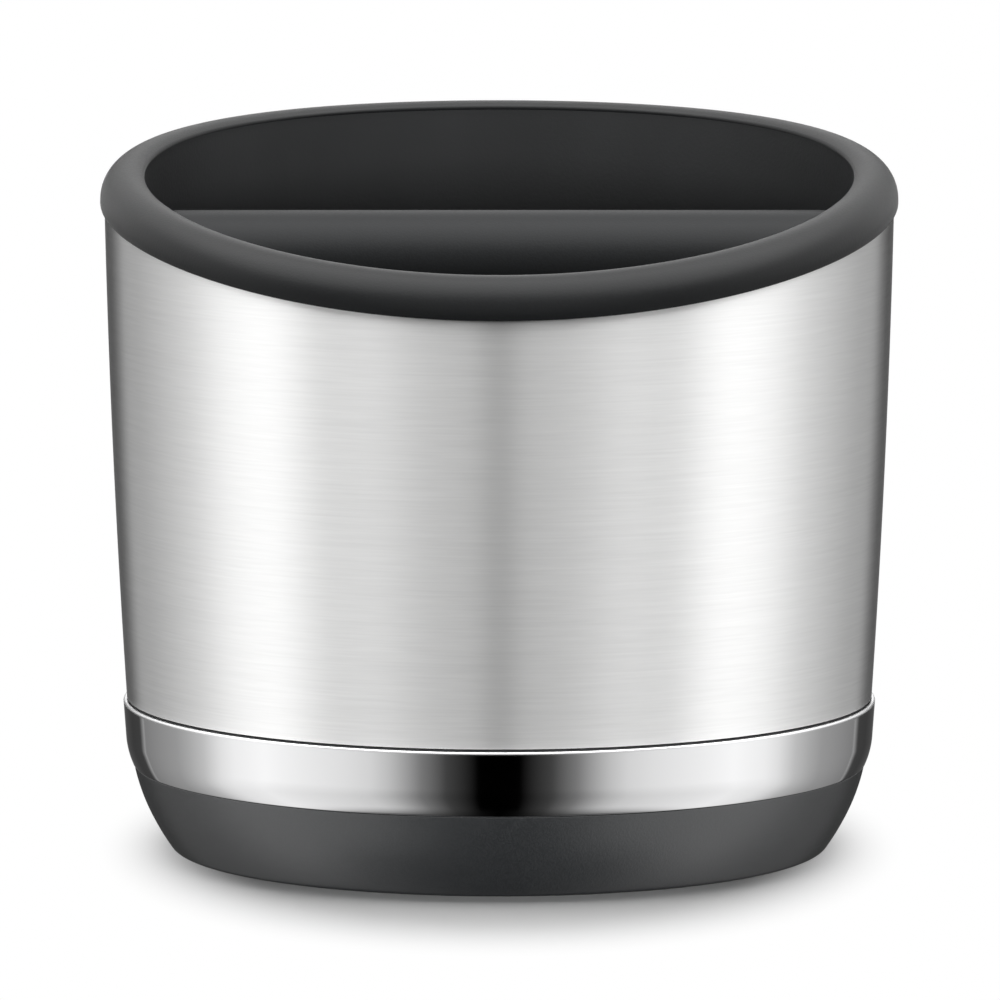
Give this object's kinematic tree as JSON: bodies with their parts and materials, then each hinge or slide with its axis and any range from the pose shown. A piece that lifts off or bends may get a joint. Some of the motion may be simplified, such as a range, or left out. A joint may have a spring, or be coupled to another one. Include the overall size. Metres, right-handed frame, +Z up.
{
  "type": "espresso knock box",
  "caption": "Round knock box with a brushed steel wall, chrome band, soft swooping rim collar, non-slip base and a padded knock bar that lifts out of the bin.",
  "frame": {"origin": "centre of the base, on the counter", "axes": "+Z up, -Y towards the low side of the lip, +X to the right seen from that side, along the knock bar"},
  "size_m": [0.134, 0.1337, 0.1202],
  "materials": {
    "bin_plastic": "fine matte moulded",
    "collar_elastomer": "soft matte charcoal",
    "brushed_sleeve": "brushed round the wall",
    "chrome_band": "mirror polished",
    "frame_plastic": "matte moulded",
    "boot_elastomer": "satin charcoal",
    "buffer_rubber": "matte",
    "screw_steel": "zinc plated",
    "core_metal": "drawn tube",
    "bar_elastomer": "soft matte charcoal",
    "cap_plastic": "fine matte moulded"
  },
  "bodies": {
    "box": {"liner_bin": "bin_plastic", "rim_collar": "collar_elastomer", "steel_sleeve": "brushed_sleeve", "trim_band": "chrome_band", "base_frame": "frame_plastic", "base_boot": "boot_elastomer", "buffer_right": "buffer_rubber", "buffer_left": "buffer_rubber", "base_screw_1": "screw_steel", "base_screw_2": "screw_steel", "base_screw_3": "screw_steel", "base_screw_4": "screw_steel"},
    "knock_bar": {"bar_core": "core_metal", "bar_sleeve": "bar_elastomer", "bar_cap_right": "cap_plastic", "bar_cap_left": "cap_plastic"}
  },
  "joints": [
    {"name": "bar_lift", "type": "slide", "parent": "box", "child": "knock_bar", "axis": [0, 0, 1], "range_m": [0, 0.045]}
  ]
}
